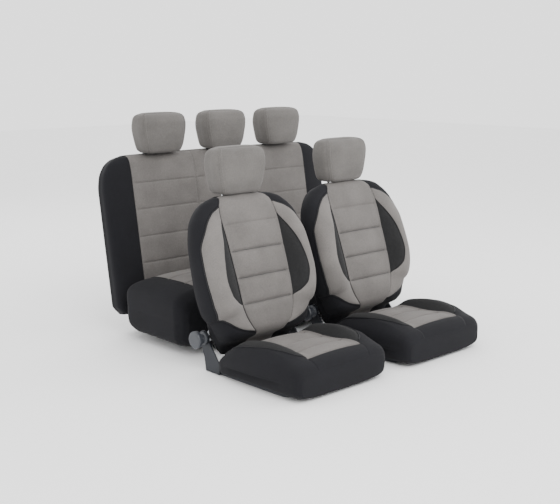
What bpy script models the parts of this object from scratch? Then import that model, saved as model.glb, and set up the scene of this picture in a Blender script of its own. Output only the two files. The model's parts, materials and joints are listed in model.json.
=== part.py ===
"""Seat cover set on its seats: two front seats with recliners and one three-place rear bench.

Metres, +Z up, +Y towards the rear of the vehicle, origin under the middle of the whole set.
Every cover is an open-bottomed shell over its own foam, and the foam sits on a steel part.
"""

from math import cos, pi, radians, sin

import bmesh
import bpy
from mathutils import Matrix, Vector

# Where the seats stand
FRONT_SEAT_X = {"front_left": -0.4771, "front_right": 0.1899}
FRONT_Y = -0.742
REAR_X = 0.0439
REAR_FACE = Vector((REAR_X, 0.520, 0.130))
REAR_CUSHION_FRONT_Y = 0.058
REAR_CUSHION_BACK_Y = 0.514

# Front seat
FRONT_HALF_WIDTH = 0.2735
FRONT_CUSHION_DEPTH = 0.490
FRONT_CUSHION_TOP = 0.150
FRONT_BOLSTER_RISE = 0.045
REAR_FALL_LENGTH = 0.105
REAR_FALL_SLOPE = 0.50
RECLINER_Y = FRONT_Y + 0.600
RECLINER_Z = 0.145
FRONT_LEAN = radians(19.5)
FRONT_HEADREST_Y = FRONT_Y + 0.675
FRONT_HEADREST_Z = 0.750
FRONT_POST_Y = -0.125
FRONT_FRAME_SPACE = 0.055

# Rear bench
REAR_HALF_WIDTH = 0.740
REAR_LEAN = radians(9.5)
REAR_CUSHION_BOTTOM = 0.012
REAR_BOARD_BOTTOM = 0.045
REAR_NOTCH = 0.120
REAR_CUSHION_TOP = 0.305
REAR_HEADREST_SPACING = 0.400
REAR_HEADREST_Y = 0.657
REAR_HEADREST_Z = 0.872
REAR_POST_Y = 0.036
REAR_BOARD_SPACE = 0.036

# Headrests
HEADREST_HALF_WIDTH = 0.1440
HEADREST_HEIGHT = 0.200
HEADREST_HALF_DEPTH = 0.0680
REAR_HEADREST_SIZE = 0.96
POST_HALF_SPACING = 0.070
POST_RADIUS = 0.006
POST_INSERTION = 0.110
POST_RISE_IN_HEADREST = 0.105
GUIDE_BORE = 0.0075
GUIDE_RADIUS = 0.0105
GUIDE_LENGTH = 0.075
COLLAR_RADIUS = 0.016
COLLAR_HEIGHT = 0.007
BAR_HEIGHT = 0.012
BAR_THICKNESS = 0.003

# Cover cloth with its foam backing, and the running gap between neighbours
COVER_WALL = 0.003
GAP = 0.0004
FOAM_GAP = 0.0018
CUSHION_FOAM_DROP = 0.006
CUSHION_CROWN_LEVELS = 3
RING_POINTS = 24
HEADREST_RING_POINTS = 16
ROUND_SIDES = 14

# Recliner
ROD_RADIUS = 0.006
ROD_BORE = 0.0085
PLATE = 0.005
BRACKET_X = 0.2445
ARM_X = 0.2155
BRACKET_HEAD_RADIUS = 0.034
BRACKET_FOOT_FRONT = 0.497
BRACKET_FOOT_BACK = 0.588
BRACKET_FOOT_HEIGHT = 0.020
ARM_LENGTH = 0.140
ARM_HUB_RADIUS = 0.018
ARM_BACK_Y = -0.021
ARM_FRONT_Y = -0.036
BOSS_RADIUS = 0.023
WHEEL_RADIUS = 0.039
WHEEL_X = 0.281
WHEEL_WIDTH = 0.024
WHEEL_LOBES = 8
HUB_OPENING = 0.040
HUB_OPENING_X = 0.170

# Steelwork
PAN_HALF_WIDTH = 0.2436
PAN_HEIGHT = 0.018
PAN_WALL = 0.003
FRAME_TUBE = 0.010
BASE_TUBE = 0.021
BASE_HALF_X = 0.600
BASE_FRONT_Y = 0.158
BASE_BACK_Y = 0.603
BEND_RADIUS = 0.050
BEND_STEPS = 3


def material(name, color, roughness, metallic=0.0):
    """A Principled material with one colour."""
    result = bpy.data.materials.new(name)
    result.use_nodes = True
    shader = result.node_tree.nodes["Principled BSDF"]
    shader.inputs["Base Color"].default_value = (*color, 1.0)
    shader.inputs["Roughness"].default_value = roughness
    shader.inputs["Metallic"].default_value = metallic
    return result


def add_object(name, shape, look, place=None):
    """Turns a bmesh into a named object with outward faces at the given placement."""
    bmesh.ops.recalc_face_normals(shape, faces=shape.faces)
    mesh = bpy.data.meshes.new(name)
    shape.to_mesh(mesh)
    shape.free()
    mesh.shade_smooth()
    mesh.set_sharp_from_angle(angle=radians(40))
    mesh.materials.append(look)
    result = bpy.data.objects.new(name, mesh)
    bpy.context.scene.collection.objects.link(result)
    if place is not None:
        result.matrix_world = place
    return result


def pivot(name, location, lean):
    """An empty on a joint's axis, leaning back by the given angle; moving pieces hang from it."""
    result = bpy.data.objects.new(name, None)
    bpy.context.scene.collection.objects.link(result)
    result.location = location
    result.rotation_euler.x = -lean
    return result


def leaning(location, lean):
    """A placement at a point, turned back about X by the lean."""
    return Matrix.Translation(location) @ Matrix.Rotation(-lean, 4, "X")


def superellipse(level, angle, power):
    """One point of a rounded loop: level is (height, half width, front y, back y)."""
    height, half_width, front, back = level
    across = cos(angle)
    along = sin(angle)
    x = half_width * abs(across) ** (2 / power) * (1 if across > 0 else -1)
    half_depth = (back - front) / 2
    y = (front + back) / 2 + half_depth * abs(along) ** (2 / power) * (1 if along > 0 else -1)
    return Vector((x, y, height))


def ring(level, count, power, lift=None, skin=None, flat=0.0):
    """A rounded loop; it is lifted as the skin level outside it is, and flat cuts its back."""
    points = []
    for index in range(count):
        angle = 2 * pi * (index + 0.5) / count
        point = superellipse(level, angle, power)
        point.y = min(point.y, level[3] - flat)
        if lift is not None:
            outside = superellipse(skin, angle, power)
            point.z += lift(outside.x, outside.y, outside.z)
        points.append(point)
    return points


def join_rings(shape, loops):
    """Quads between each pair of neighbouring vertex loops."""
    for lower, upper in zip(loops, loops[1:]):
        count = len(lower)
        for index in range(count):
            following = (index + 1) % count
            shape.faces.new((lower[index], lower[following], upper[following], upper[index]))


def add_loop(shape, points):
    """Adds one loop of vertices."""
    return [shape.verts.new(point) for point in points]


def close_with_fan(shape, loop):
    """Closes a loop with triangles that meet at its middle."""
    middle = shape.verts.new(sum((vertex.co for vertex in loop), Vector()) / len(loop))
    for index, vertex in enumerate(loop):
        shape.faces.new((vertex, loop[(index + 1) % len(loop)], middle))


def shrink(levels, amount):
    """The same stack of levels, smaller all round; the last level also moves towards the first."""
    inward = amount if levels[-1][0] < levels[0][0] else -amount
    result = []
    for height, half_width, front, back in levels:
        result.append((height, half_width - amount, front + amount, back - amount))
    height, half_width, front, back = result[-1]
    result[-1] = (height + inward, half_width, front, back)
    return result


def padding(name, levels, look, place=None, count=RING_POINTS, power=4.0, lift=None, skins=None,
            flat=0.0):
    """A closed solid through all the levels, with its back cut flat if asked."""
    shape = bmesh.new()
    loops = []
    for level, skin in zip(levels, skins or levels):
        loops.append(add_loop(shape, ring(level, count, power, lift, skin, flat)))
    join_rings(shape, loops)
    close_with_fan(shape, loops[0])
    close_with_fan(shape, loops[-1])
    return add_object(name, shape, look, place)


def bag(name, levels, wall, look, place=None, count=RING_POINTS, power=4.0, lift=None):
    """A shell of even wall, open at its first level and closed over its last."""
    shape = bmesh.new()
    outer = []
    inner = []
    for level, inside in zip(levels, shrink(levels, wall)):
        outer.append(add_loop(shape, ring(level, count, power, lift, level)))
        inner.append(add_loop(shape, ring(inside, count, power, lift, level)))
    join_rings(shape, outer)
    join_rings(shape, inner)
    join_rings(shape, [outer[0], inner[0]])
    close_with_fan(shape, outer[-1])
    close_with_fan(shape, inner[-1])
    return add_object(name, shape, look, place)


def rounded_path(corners, radius, closed):
    """Replaces each corner of a polyline with a smooth bend of a few points."""
    count = len(corners)
    points = []
    for index, corner in enumerate(corners):
        if not closed and index in (0, count - 1):
            points.append(corner)
            continue
        before = corners[index - 1]
        after = corners[(index + 1) % count]
        start = corner + (before - corner).normalized() * radius
        finish = corner + (after - corner).normalized() * radius
        for step in range(BEND_STEPS + 1):
            part = step / BEND_STEPS
            first = start.lerp(corner, part)
            second = corner.lerp(finish, part)
            points.append(first.lerp(second, part))
    return points


def add_sweep(shape, points, radius, closed, sides):
    """Adds a round tube along the points; the ring turns with the path and never twists."""
    count = len(points)
    loops = []
    normal = None
    for index, point in enumerate(points):
        before = points[index - 1] if closed or index > 0 else point
        after = points[(index + 1) % count] if closed or index < count - 1 else point
        direction = (after - before).normalized()
        if normal is None:
            seed = Vector((0, 1, 0)) if abs(direction.y) < 0.9 else Vector((1, 0, 0))
            normal = (seed - direction * seed.dot(direction)).normalized()
        else:
            normal = (normal - direction * normal.dot(direction)).normalized()
        binormal = direction.cross(normal)
        loop = []
        for side in range(sides):
            angle = 2 * pi * side / sides
            offset = normal * cos(angle) + binormal * sin(angle)
            loop.append(shape.verts.new(point + offset * radius))
        loops.append(loop)
    join_rings(shape, loops)
    if closed:
        join_rings(shape, [loops[-1], loops[0]])
    else:
        close_with_fan(shape, loops[0])
        close_with_fan(shape, loops[-1])


def tube(name, points, radius, look, closed=False, place=None, sides=8):
    """A round bar or tube along a path."""
    shape = bmesh.new()
    add_sweep(shape, points, radius, closed, sides)
    return add_object(name, shape, look, place)


def circle(radius, height, axis, centre=Vector(), sides=ROUND_SIDES, lobes=0, depth=0.0):
    """Points of a circle across an axis, X or Z, with shallow grip lobes if asked."""
    points = []
    for index in range(sides):
        angle = 2 * pi * index / sides
        reach = radius + depth * cos(lobes * angle) if lobes else radius
        first = reach * cos(angle)
        second = reach * sin(angle)
        if axis == "X":
            points.append(centre + Vector((height, first, second)))
        else:
            points.append(centre + Vector((first, second, height)))
    return points


def add_turned(shape, profile, bore, axis, centre=Vector(), sides=ROUND_SIDES, lobes=0, depth=0.0):
    """Adds a turned part with a bore: profile lists (height, radius) along the axis."""
    outer = []
    for height, radius in profile:
        points = circle(radius, height, axis, centre, sides, lobes, depth)
        outer.append(add_loop(shape, points))
    join_rings(shape, outer)
    if bore:
        inner = []
        for height in (profile[0][0], profile[-1][0]):
            inner.append(add_loop(shape, circle(bore, height, axis, centre, sides)))
        join_rings(shape, inner)
        join_rings(shape, [outer[0], inner[0]])
        join_rings(shape, [outer[-1], inner[-1]])
    else:
        close_with_fan(shape, outer[0])
        close_with_fan(shape, outer[-1])


def plate(name, outline, bore, x_start, x_end, look, place=None):
    """A flat plate across X, with one round bore at its own origin if asked."""
    shape = bmesh.new()
    loops = []
    for x in (x_start, x_end):
        loops.append([shape.verts.new(Vector((x, y, z))) for y, z in outline])
    join_rings(shape, loops)
    for loop in loops:
        shape.faces.new(loop)
    result = add_object(name, shape, look, place)
    if bore:
        span = ((x_start - 0.01, bore), (x_end + 0.01, bore))
        if x_start > x_end:
            span = ((x_end - 0.01, bore), (x_start + 0.01, bore))
        cutter_shape = bmesh.new()
        add_turned(cutter_shape, span, 0, "X")
        cut(result, name, cutter_shape, place)
    return result


def cut(target, name, cutter_shape, place=None, operation="DIFFERENCE"):
    """Cuts a closed shape out of a piece, or unites it; the cutter itself is only a guide."""
    bmesh.ops.recalc_face_normals(cutter_shape, faces=cutter_shape.faces)
    mesh = bpy.data.meshes.new(name + "_cutter")
    cutter_shape.to_mesh(mesh)
    cutter_shape.free()
    cutter = bpy.data.objects.new(name + "_cutter", mesh)
    bpy.context.scene.collection.objects.link(cutter)
    if place is not None:
        cutter.matrix_world = place
    cutter.hide_render = True
    cutter.display_type = "WIRE"
    modifier = target.modifiers.new("Cut", "BOOLEAN")
    modifier.operation = operation
    modifier.solver = "EXACT"
    modifier.object = cutter
    return cutter


def arc_outline(centre, radius, start, finish, steps):
    """Points of an arc in the YZ plane, angles in degrees."""
    points = []
    for index in range(steps + 1):
        angle = radians(start + (finish - start) * index / steps)
        points.append((centre[0] + radius * cos(angle), centre[1] + radius * sin(angle)))
    return points


# Level stacks: (height, half width, front y, back y), from the open end to the closed end


def front_cushion_levels():
    """The front cushion from its hem to its top."""
    back = FRONT_Y + FRONT_CUSHION_DEPTH
    wide = FRONT_HALF_WIDTH
    top = FRONT_CUSHION_TOP
    return [
        (0.001, wide - 0.004, FRONT_Y + 0.006, back - 0.004),
        (top * 0.25, wide, FRONT_Y, back),
        (top * 0.72, wide, FRONT_Y + 0.002, back),
        (top * 0.90, wide - 0.012, FRONT_Y + 0.016, back - 0.006),
        (top * 0.98, wide - 0.036, FRONT_Y + 0.040, back - 0.016),
        (top, wide - 0.090, FRONT_Y + 0.085, back - 0.050),
    ]


def cushion_lift(x, y, height):
    """Shapes the front cushion: raised sides, a top that falls under the backrest, a rear notch."""
    if height < 0.01:
        return PAN_HEIGHT + 0.006 if y > FRONT_Y + FRONT_CUSHION_DEPTH - 0.150 else 0.0
    if height < FRONT_CUSHION_TOP * 0.5:
        return 0.0
    reach = min(1.0, max(0.0, (abs(x) - 0.120) / 0.090))
    along = min(1.0, (y - FRONT_Y) / (FRONT_CUSHION_DEPTH - REAR_FALL_LENGTH))
    upper = (height / FRONT_CUSHION_TOP) ** 3
    rise = FRONT_BOLSTER_RISE * reach * max(0.0, sin(pi * along)) ** 0.6
    fall = max(0.0, y - FRONT_Y - FRONT_CUSHION_DEPTH + REAR_FALL_LENGTH) * REAR_FALL_SLOPE
    return (rise - fall) * upper


def front_backrest_levels():
    """The front backrest in its own leaning axes, zero at the recliner axis."""
    wide = FRONT_HALF_WIDTH
    hinge_width = BRACKET_X - 0.0035
    return [
        (-0.035, hinge_width - 0.012, -0.168, 0.020),
        (0.000, hinge_width, -0.196, 0.024),
        (0.060, hinge_width, -0.212, 0.022),
        (0.110, wide - 0.010, -0.222, 0.012),
        (0.200, wide, -0.232, 0.000),
        (0.350, wide, -0.232, -0.030),
        (0.440, wide - 0.006, -0.226, -0.050),
        (0.500, wide - 0.029, -0.216, -0.066),
        (0.541, wide - 0.062, -0.206, -0.078),
        (0.565, wide - 0.108, -0.196, -0.090),
        (0.578, wide - 0.158, -0.176, -0.108),
    ]


def rear_cushion_levels():
    """The bench cushion from its hem to its top."""
    front = REAR_CUSHION_FRONT_Y
    back = REAR_CUSHION_BACK_Y
    wide = REAR_HALF_WIDTH
    return [
        (REAR_CUSHION_BOTTOM, wide - 0.040, front + 0.030, back - 0.056),
        (REAR_BOARD_BOTTOM + 0.020, wide - 0.010, front + 0.010, back - 0.016),
        (REAR_BOARD_BOTTOM + 0.075, wide, front, back),
        (REAR_CUSHION_TOP - 0.085, wide, front, back),
        (REAR_CUSHION_TOP - 0.035, wide - 0.010, front + 0.012, back),
        (REAR_CUSHION_TOP - 0.010, wide - 0.030, front + 0.030, back - 0.006),
        (REAR_CUSHION_TOP, wide - 0.070, front + 0.065, back - 0.030),
    ]


def rear_cushion_lift(x, y, height):
    """Raises the back of the bench cushion's hem over the base loop."""
    if height < REAR_BOARD_BOTTOM and y > REAR_CUSHION_BACK_Y - REAR_NOTCH:
        return REAR_BOARD_BOTTOM - REAR_CUSHION_BOTTOM
    return 0.0


def rear_backrest_levels():
    """The bench backrest in its own leaning axes, zero at the bottom of its face."""
    wide = REAR_HALF_WIDTH
    return [
        (-0.020, wide - 0.030, 0.002, 0.108),
        (0.030, wide, -0.004, 0.122),
        (0.600, wide, -0.004, 0.116),
        (0.690, wide - 0.020, 0.000, 0.110),
        (0.730, wide - 0.060, 0.008, 0.102),
        (0.748, wide - 0.110, 0.028, 0.084),
    ]


def headrest_levels(size):
    """A headrest from its open underside to its top, narrower below."""
    wide = HEADREST_HALF_WIDTH * size
    deep = HEADREST_HALF_DEPTH
    tall = HEADREST_HEIGHT * size
    return [
        (0.0, wide - 0.026, -deep + 0.014, deep - 0.014),
        (tall * 0.10, wide - 0.012, -deep + 0.004, deep - 0.004),
        (tall * 0.45, wide - 0.003, -deep, deep),
        (tall * 0.78, wide, -deep, deep),
        (tall * 0.93, wide - 0.010, -deep + 0.008, deep - 0.008),
        (tall, wide - 0.036, -deep + 0.030, deep - 0.030),
    ]


def build_headrest(name, looks, lean, guide_top, place, size, parent):
    """Cover, foam, posts and guides of one headrest; guide_top is where the guides end."""
    down = Matrix.Rotation(-lean, 3, "X") @ Vector((0, 0, -1))
    top_z = place.z + POST_RISE_IN_HEADREST
    inner_y = place.y + 0.004
    bend_z = place.z + 0.020
    corners = []
    for side in (-1, 1):
        x = place.x + side * POST_HALF_SPACING
        leg = [guide_top + down * POST_INSERTION]
        leg.append(guide_top - down * ((bend_z - guide_top.z) / cos(lean)))
        leg.append(Vector((0, inner_y, top_z)))
        for point in leg:
            point.x = x
        corners += leg if side < 0 else leg[::-1]
    path = rounded_path(corners, 0.014, closed=False)
    pieces = []
    pieces.append(tube(name + "_headrest_posts", path, POST_RADIUS, looks["chrome"]))

    levels = headrest_levels(size)
    spot = Matrix.Translation(place)
    cover = bag(name + "_headrest_cover", levels, COVER_WALL, looks["light_cloth"], spot,
                HEADREST_RING_POINTS, 3.2)
    foam_levels = shrink(levels, COVER_WALL + FOAM_GAP)
    foam_levels[0] = (0.004, *foam_levels[0][1:])
    foam = padding(name + "_headrest_foam", foam_levels, looks["foam"], spot,
                   HEADREST_RING_POINTS, 3.2)
    channel = bmesh.new()
    add_sweep(channel, path, POST_RADIUS + GAP, False, 8)
    cut(foam, name + "_headrest_foam", channel)
    pieces += [cover, foam]
    for piece in pieces:
        keep_place = piece.matrix_world.copy()
        piece.parent = parent
        piece.matrix_parent_inverse = parent.matrix_world.inverted()
        piece.matrix_world = keep_place
    return pieces


def guide_shape(bottom, top, bore, radius, collar, x_positions, y):
    """Two sleeves along Z with a collar on top."""
    shape = bmesh.new()
    profile = ((bottom, radius), (top, radius))
    if collar:
        profile += ((top, COLLAR_RADIUS), (top + COLLAR_HEIGHT, COLLAR_RADIUS))
    for x in x_positions:
        add_turned(shape, profile, bore, "Z", Vector((x, y, 0)), 8)
    return shape


def bar_shape(x_positions, y, z, grow=0.0):
    """The flat bar between a pair of guide sleeves; its ends stop inside the sleeves' walls."""
    shape = bmesh.new()
    reach = (GUIDE_BORE + GUIDE_RADIUS) / 2
    start = x_positions[0] + reach
    finish = x_positions[1] - reach
    size = Vector((finish - start, BAR_THICKNESS + 2 * grow, BAR_HEIGHT + 2 * grow))
    centre = Vector(((start + finish) / 2, y, z))
    place = Matrix.Translation(centre) @ Matrix.Diagonal((*size, 1.0))
    bmesh.ops.create_cube(shape, size=1.0, matrix=place)
    return shape


def headrest_guides(name, collar_base, x_positions, y, looks, place):
    """A pair of guide sleeves with collars, held together by a flat bar."""
    shape = guide_shape(collar_base - GUIDE_LENGTH, collar_base, GUIDE_BORE, GUIDE_RADIUS,
                        True, x_positions, y)
    guides = add_object(name, shape, looks["black_plastic"], place)
    bar_z = collar_base - GUIDE_LENGTH + BAR_HEIGHT
    cut(guides, name, bar_shape(x_positions, y, bar_z), place, "UNION")
    return guides


def front_backrest(side, looks, place):
    """Cover, foam, frame and recliner arms, modelled from the recliner axis."""
    levels = front_backrest_levels()
    top = levels[-1][0]
    cover = bag(side + "_backrest_cover", levels, COVER_WALL, looks["black_cloth"], place)
    cutter = bmesh.new()
    for sign in (-1, 1):
        ends = sorted((sign * HUB_OPENING_X, sign * FRONT_HALF_WIDTH))
        add_turned(cutter, ((ends[0], HUB_OPENING), (ends[1], HUB_OPENING)), 0, "X")
    cut(cover, side + "_backrest_cover", cutter, place)
    posts = (-POST_HALF_SPACING, POST_HALF_SPACING)
    slots = guide_shape(top - 0.030, top + 0.030, 0, GUIDE_RADIUS + GAP, False, posts, FRONT_POST_Y)
    cut(cover, side + "_backrest_crown", slots, place)

    foam_levels = shrink(levels, COVER_WALL + FOAM_GAP)[2:]
    foam = padding(side + "_backrest_foam", foam_levels, looks["foam"], place,
                   flat=FRONT_FRAME_SPACE)
    channels = guide_shape(0.400, top + 0.030, 0, GUIDE_RADIUS + GAP, False, posts, FRONT_POST_Y)
    cut(foam, side + "_backrest_channels", channels, place)

    collar_base = top + GAP
    guides = headrest_guides(side + "_headrest_guides", collar_base, posts, FRONT_POST_Y, looks,
                             place)
    bar_z = collar_base - GUIDE_LENGTH + BAR_HEIGHT
    bar_slot = bar_shape(posts, FRONT_POST_Y, bar_z, GAP)
    cut(foam, side + "_backrest_bar_slot", bar_slot, place)

    low = Vector((0.205, -0.020, 0.045))
    high = Vector((0.175, -0.078, 0.462))
    corners = [low, high, Vector((-high.x, high.y, high.z)), Vector((-low.x, low.y, low.z))]
    path = rounded_path(corners, BEND_RADIUS, closed=True)
    frame = tube(side + "_backrest_frame", path, FRAME_TUBE, looks["steel"], True, place)

    pieces = [cover, foam, guides, frame]
    outline = arc_outline((0, 0), ARM_HUB_RADIUS, 170, 415, 12)
    outline += [(ARM_BACK_Y, 0.042), (ARM_BACK_Y, ARM_LENGTH)]
    outline += [(ARM_FRONT_Y, ARM_LENGTH), (ARM_FRONT_Y, 0.034)]
    for word, sign in (("outer", -1), ("inner", 1)):
        arm = plate(f"{side}_recliner_arm_{word}", outline, ROD_BORE, sign * ARM_X,
                    sign * (ARM_X + PLATE), looks["steel"], place)
        pieces.append(arm)
    return pieces


def recliner(side, looks, place):
    """The two brackets on the seat base and the boss that the hand wheel turns against."""
    foot_top = BRACKET_FOOT_HEIGHT
    outline = arc_outline((0, 0), BRACKET_HEAD_RADIUS, -30, 200, 12)
    lean_in = (BRACKET_FOOT_FRONT - 0.600, BRACKET_FOOT_BACK - 0.600)
    outline += [(lean_in[0], foot_top + 0.030 - RECLINER_Z), (lean_in[0], 0.002 - RECLINER_Z)]
    outline += [(lean_in[1], 0.002 - RECLINER_Z), (lean_in[1] + 0.010, 0.060 - RECLINER_Z)]
    for word, sign in (("outer", -1), ("inner", 1)):
        plate(f"{side}_recliner_bracket_{word}", outline, ROD_BORE, sign * BRACKET_X,
              sign * (BRACKET_X + PLATE), looks["black_metal"], place)
    boss = bmesh.new()
    boss_start = -(BRACKET_X + PLATE + GAP)
    boss_end = -(WHEEL_X - 0.002)
    profile = ((boss_start, BOSS_RADIUS + 0.006), (boss_start - 0.006, BOSS_RADIUS + 0.006))
    profile += ((boss_start - 0.012, BOSS_RADIUS), (boss_end, BOSS_RADIUS - 0.003))
    add_turned(boss, profile, ROD_BORE, "X")
    add_object(side + "_recliner_boss", boss, looks["grey_plastic"], place)


def recliner_drive(side, looks, place):
    """The rod across the seat and the hand wheel on its outer end."""
    rod = bmesh.new()
    add_turned(rod, ((-WHEEL_X - 0.012, ROD_RADIUS), (BRACKET_X + 0.012, ROD_RADIUS)), 0, "X")
    rod_object = add_object(side + "_recliner_rod", rod, looks["steel"], place)
    wheel = bmesh.new()
    rim = WHEEL_RADIUS
    inner = -WHEEL_X
    outer = -WHEEL_X - WHEEL_WIDTH
    socket = -WHEEL_X - 0.014
    profile = [(inner, rim * 0.80), (inner - 0.004, rim * 0.97), (outer + 0.006, rim)]
    profile += [(outer + 0.001, rim * 0.92), (outer, rim * 0.70)]
    loops = []
    sides = WHEEL_LOBES * 3
    for height, radius in profile:
        points = circle(radius, height, "X", Vector(), sides, WHEEL_LOBES, 0.0008)
        loops.append(add_loop(wheel, points))
    join_rings(wheel, loops)
    bore = []
    for height in (inner, socket):
        bore.append(add_loop(wheel, circle(ROD_RADIUS + GAP, height, "X", Vector(), sides)))
    join_rings(wheel, bore)
    join_rings(wheel, [loops[0], bore[0]])
    close_with_fan(wheel, loops[-1])
    close_with_fan(wheel, bore[-1])
    wheel_object = add_object(side + "_recliner_wheel", wheel, looks["grey_plastic"], place)
    return [rod_object, wheel_object]


def front_seat(side, centre_x, looks):
    """One front seat: base, cushion, recliner, backrest and headrest."""
    spot = Matrix.Translation((centre_x, 0, 0))
    levels = front_cushion_levels()
    bag(side + "_cushion_cover", levels, COVER_WALL, looks["black_cloth"], spot,
        lift=cushion_lift)
    foam_levels = shrink(levels, COVER_WALL + FOAM_GAP)[1:]
    crown = foam_levels[-CUSHION_CROWN_LEVELS:]
    foam_levels[-CUSHION_CROWN_LEVELS:] = [(level[0] - CUSHION_FOAM_DROP, *level[1:])
                                           for level in crown]
    padding(side + "_cushion_foam", foam_levels, looks["foam"], spot, lift=cushion_lift,
            skins=levels[1:])
    pan_levels = [
        (PAN_HEIGHT, PAN_HALF_WIDTH, FRONT_Y + 0.066, FRONT_Y + 0.590),
        (0.006, PAN_HALF_WIDTH, FRONT_Y + 0.066, FRONT_Y + 0.590),
        (0.0, PAN_HALF_WIDTH - 0.006, FRONT_Y + 0.072, FRONT_Y + 0.584),
    ]
    bag(side + "_cushion_pan", pan_levels, PAN_WALL, looks["black_metal"], spot, power=9.0)

    axis_point = Vector((centre_x, RECLINER_Y, RECLINER_Z))
    level_place = Matrix.Translation(axis_point)
    recliner(side, looks, level_place)
    leaning_place = leaning(axis_point, FRONT_LEAN)
    back_pieces = front_backrest(side, looks, leaning_place)
    drive_pieces = recliner_drive(side, looks, level_place)
    swing = pivot(side + "_backrest_pivot", axis_point, FRONT_LEAN)
    spin = pivot(side + "_wheel_pivot", axis_point, 0.0)
    bpy.context.view_layer.update()
    for pieces, parent in ((back_pieces, swing), (drive_pieces, spin)):
        for piece in pieces:
            piece.parent = parent
            piece.matrix_parent_inverse = parent.matrix_world.inverted()

    top = front_backrest_levels()[-1][0] + GAP + COLLAR_HEIGHT
    guide_top = leaning_place @ Vector((0, FRONT_POST_Y, top))
    place = Vector((centre_x, FRONT_HEADREST_Y, FRONT_HEADREST_Z))
    build_headrest(side, looks, FRONT_LEAN, guide_top, place, 1.0, swing)


def rear_bench(looks):
    """The bench: base loop, cushion, backrest with its board, and three headrests."""
    corners = [
        Vector((REAR_X - BASE_HALF_X, BASE_FRONT_Y, BASE_TUBE)),
        Vector((REAR_X + BASE_HALF_X, BASE_FRONT_Y, BASE_TUBE)),
        Vector((REAR_X + BASE_HALF_X, BASE_BACK_Y, BASE_TUBE)),
        Vector((REAR_X - BASE_HALF_X, BASE_BACK_Y, BASE_TUBE)),
    ]
    path = rounded_path(corners, BEND_RADIUS, closed=True)
    tube("rear_base_frame", path, BASE_TUBE, looks["black_metal"], True)

    spot = Matrix.Translation((REAR_X, 0, 0))
    levels = rear_cushion_levels()
    bag("rear_cushion_cover", levels, COVER_WALL, looks["black_cloth"], spot, power=7.0,
        lift=rear_cushion_lift)
    board_top = REAR_BOARD_BOTTOM + 0.008
    foam_levels = shrink(levels, COVER_WALL + FOAM_GAP)
    foam_levels[0] = (board_top + GAP, *foam_levels[0][1:])
    padding("rear_cushion_foam", foam_levels, looks["foam"], spot, power=7.0)
    front = REAR_CUSHION_FRONT_Y + 0.040
    back = REAR_CUSHION_BACK_Y - 0.070
    board_half = REAR_HALF_WIDTH - 0.060
    board = [(2 * BASE_TUBE + GAP, board_half, front, back), (board_top, board_half, front, back)]
    padding("rear_cushion_board", board, looks["black_metal"], spot, power=9.0)

    place = leaning(REAR_FACE, REAR_LEAN)
    levels = rear_backrest_levels()
    top = levels[-1][0]
    cover = bag("rear_backrest_cover", levels, COVER_WALL, looks["black_cloth"], place, power=7.0)
    foam_levels = shrink(levels, COVER_WALL + FOAM_GAP)
    foam = padding("rear_backrest_foam", foam_levels, looks["foam"], place, power=7.0,
                   flat=REAR_BOARD_SPACE)
    posts = []
    for step in (-1, 0, 1):
        for side in (-1, 1):
            posts.append(step * REAR_HEADREST_SPACING + side * POST_HALF_SPACING)
    slots = guide_shape(top - 0.030, top + 0.030, 0, GUIDE_RADIUS + GAP, False, posts, REAR_POST_Y)
    cut(cover, "rear_backrest_crown", slots, place)
    channels = guide_shape(0.560, top + 0.030, 0, GUIDE_RADIUS + GAP, False, posts, REAR_POST_Y)
    cut(foam, "rear_backrest_channels", channels, place)
    panel = [(-0.070, REAR_HALF_WIDTH - 0.090, 0.090, 0.098)]
    panel.append((0.690, REAR_HALF_WIDTH - 0.090, 0.090, 0.098))
    padding("rear_backrest_panel", panel, looks["steel"], place, count=16, power=12.0)

    for word, step in (("left", -1), ("centre", 0), ("right", 1)):
        name = "rear_" + word
        x = step * REAR_HEADREST_SPACING
        pair = (x - POST_HALF_SPACING, x + POST_HALF_SPACING)
        collar_base = top + GAP
        headrest_guides(name + "_headrest_guides", collar_base, pair, REAR_POST_Y, looks, place)
        bar_z = collar_base - GUIDE_LENGTH + BAR_HEIGHT
        cut(foam, name + "_bar_slot", bar_shape(pair, REAR_POST_Y, bar_z, GAP), place)
        guide_top = place @ Vector((x, REAR_POST_Y, collar_base + COLLAR_HEIGHT))
        seat = Vector((REAR_X + x, REAR_HEADREST_Y, REAR_HEADREST_Z))
        lift = pivot(name + "_headrest_pivot", guide_top, REAR_LEAN)
        bpy.context.view_layer.update()
        build_headrest(name, looks, REAR_LEAN, guide_top, seat, REAR_HEADREST_SIZE, lift)


def main():
    """Builds the whole set in an empty scene."""
    for item in list(bpy.data.objects):
        bpy.data.objects.remove(item, do_unlink=True)
    looks = {
        "black_cloth": material("black_cloth", (0.020, 0.021, 0.024), 0.85),
        "light_cloth": material("light_cloth", (0.36, 0.37, 0.39), 0.85),
        "foam": material("foam", (0.55, 0.50, 0.38), 0.95),
        "black_metal": material("black_metal", (0.03, 0.032, 0.036), 0.5, 0.6),
        "steel": material("steel", (0.35, 0.36, 0.38), 0.4, 0.9),
        "chrome": material("chrome", (0.75, 0.76, 0.78), 0.15, 1.0),
        "black_plastic": material("black_plastic", (0.03, 0.03, 0.033), 0.45),
        "grey_plastic": material("grey_plastic", (0.20, 0.23, 0.28), 0.45),
    }
    for side, centre_x in FRONT_SEAT_X.items():
        front_seat(side, centre_x, looks)
    rear_bench(looks)


main()
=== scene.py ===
"""Looks of the seat cover set: sewn covers, piping, stitches and trim over the CAD frame."""
import json
from math import cos, pi, radians, sin

import bmesh
import bpy
import numpy as np
from mathutils import Matrix, Vector


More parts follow.
